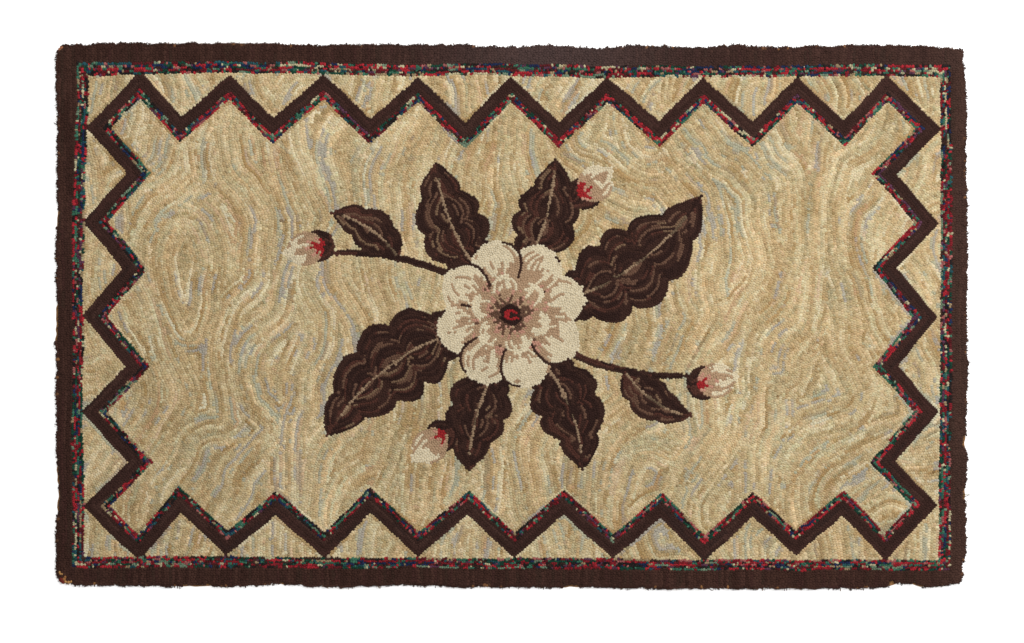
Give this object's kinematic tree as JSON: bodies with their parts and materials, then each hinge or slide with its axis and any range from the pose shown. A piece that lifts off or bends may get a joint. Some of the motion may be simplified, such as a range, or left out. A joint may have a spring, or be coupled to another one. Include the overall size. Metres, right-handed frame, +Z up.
{
  "type": "hooked rug",
  "caption": "Flat rectangular hooked wool rug with a dark border, a fine tweed stripe and a zigzag band round a pale mottled field with a leaf and flower spray.",
  "frame": {"origin": "on the surface that the rug lies on, under the centre of its bounding box", "axes": "+X along the rug's length, +Y across its width, +Z up out of the pile"},
  "size_m": [1.2219, 0.73, 0.008],
  "materials": {
    "wool_pile": "matt looped wool pile in cream, tan and dark brown, with a many-coloured tweed line",
    "burlap": "coarse plain-woven jute foundation, matt"
  },
  "bodies": {
    "root": {"hooked_rug": "wool_pile"}
  },
  "joints": []
}
